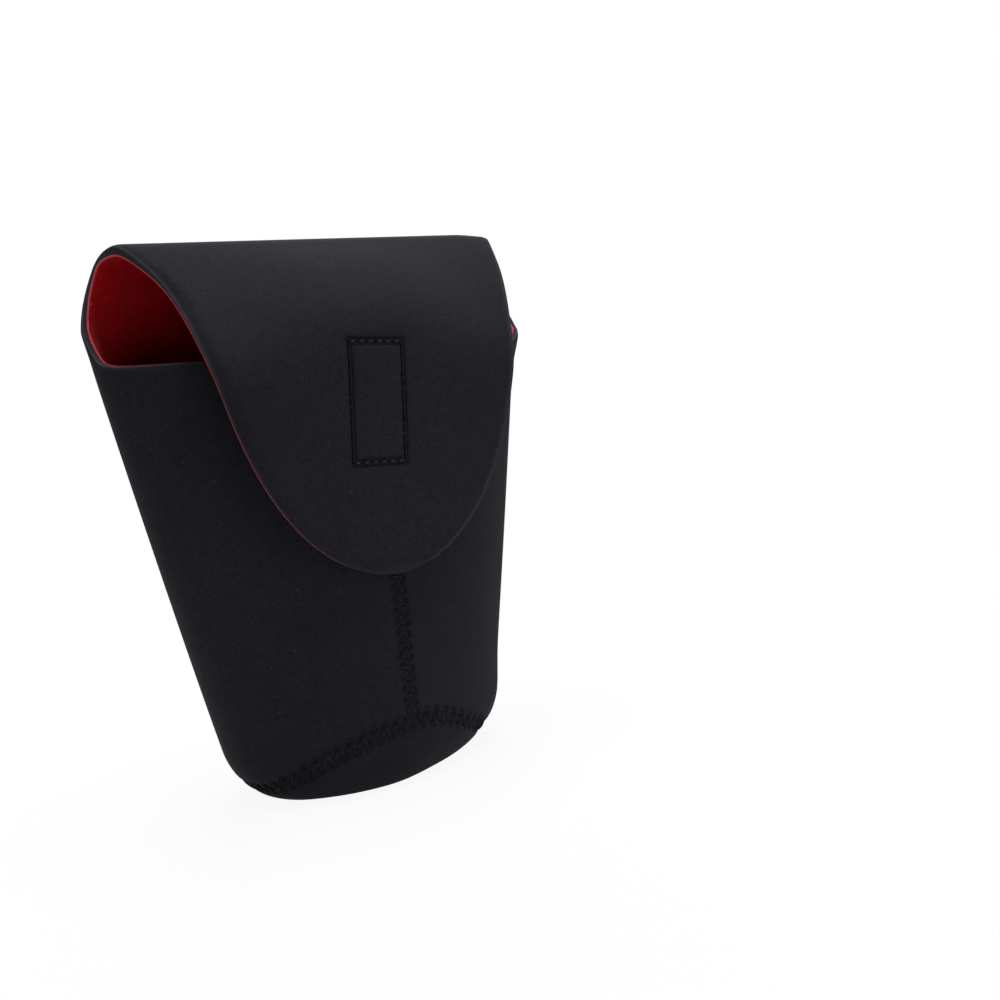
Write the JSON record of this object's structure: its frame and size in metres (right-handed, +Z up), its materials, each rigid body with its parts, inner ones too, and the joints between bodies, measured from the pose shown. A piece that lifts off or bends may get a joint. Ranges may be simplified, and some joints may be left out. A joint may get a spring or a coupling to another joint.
{
  "type": "lens pouch",
  "caption": "Soft padded pouch with a folded round base, a red lining and a rounded fold-over flap that closes on the front with hook and loop tape.",
  "frame": {"origin": "middle of the flat foot that the pouch stands on", "axes": "+Z up along the pouch, -Y towards its front with the flap's tongue and the front seam, X across its width"},
  "size_m": [0.1516, 0.0637, 0.1754],
  "materials": {
    "black_knit": "matte knitted nylon face",
    "black_foam": "closed-cell foam",
    "red_lining": "matte knitted red lining",
    "black_thread": "polyester sewing thread",
    "hook_tape": "woven tape with plastic hooks",
    "loop_tape": "woven tape with brushed loops"
  },
  "bodies": {
    "pouch": {"wall_outer_knit": "black_knit", "wall_foam": "black_foam", "wall_lining": "red_lining", "base_outer_knit": "black_knit", "base_foam": "black_foam", "base_lining": "red_lining", "front_seam_thread": "black_thread", "front_seam_inner_thread": "black_thread", "base_seam_thread": "black_thread", "base_seam_inner_thread": "black_thread", "loop_tape": "loop_tape", "loop_tape_stitching": "black_thread", "loop_tape_bobbin_thread": "black_thread"},
    "flap_roof": {"flap_roof_outer_knit": "black_knit", "flap_roof_foam": "black_foam", "flap_roof_lining": "red_lining"},
    "flap_tongue": {"flap_tongue_outer_knit": "black_knit", "flap_tongue_foam": "black_foam", "flap_tongue_lining": "red_lining", "hook_tape": "hook_tape", "hook_tape_stitching": "black_thread", "hook_tape_bobbin_thread": "black_thread"}
  },
  "joints": [
    {"name": "flap_lift", "type": "hinge", "parent": "pouch", "child": "flap_roof", "pos_m": [0, -0.00323, 0.17539], "axis": [-1, 0, 0], "range_deg": [0, 175]},
    {"name": "tongue_peel", "type": "hinge", "parent": "flap_roof", "child": "flap_tongue", "pos_m": [0, -0.03198, 0.14419], "axis": [-1, 0, 0], "range_deg": [0, 120]}
  ]
}
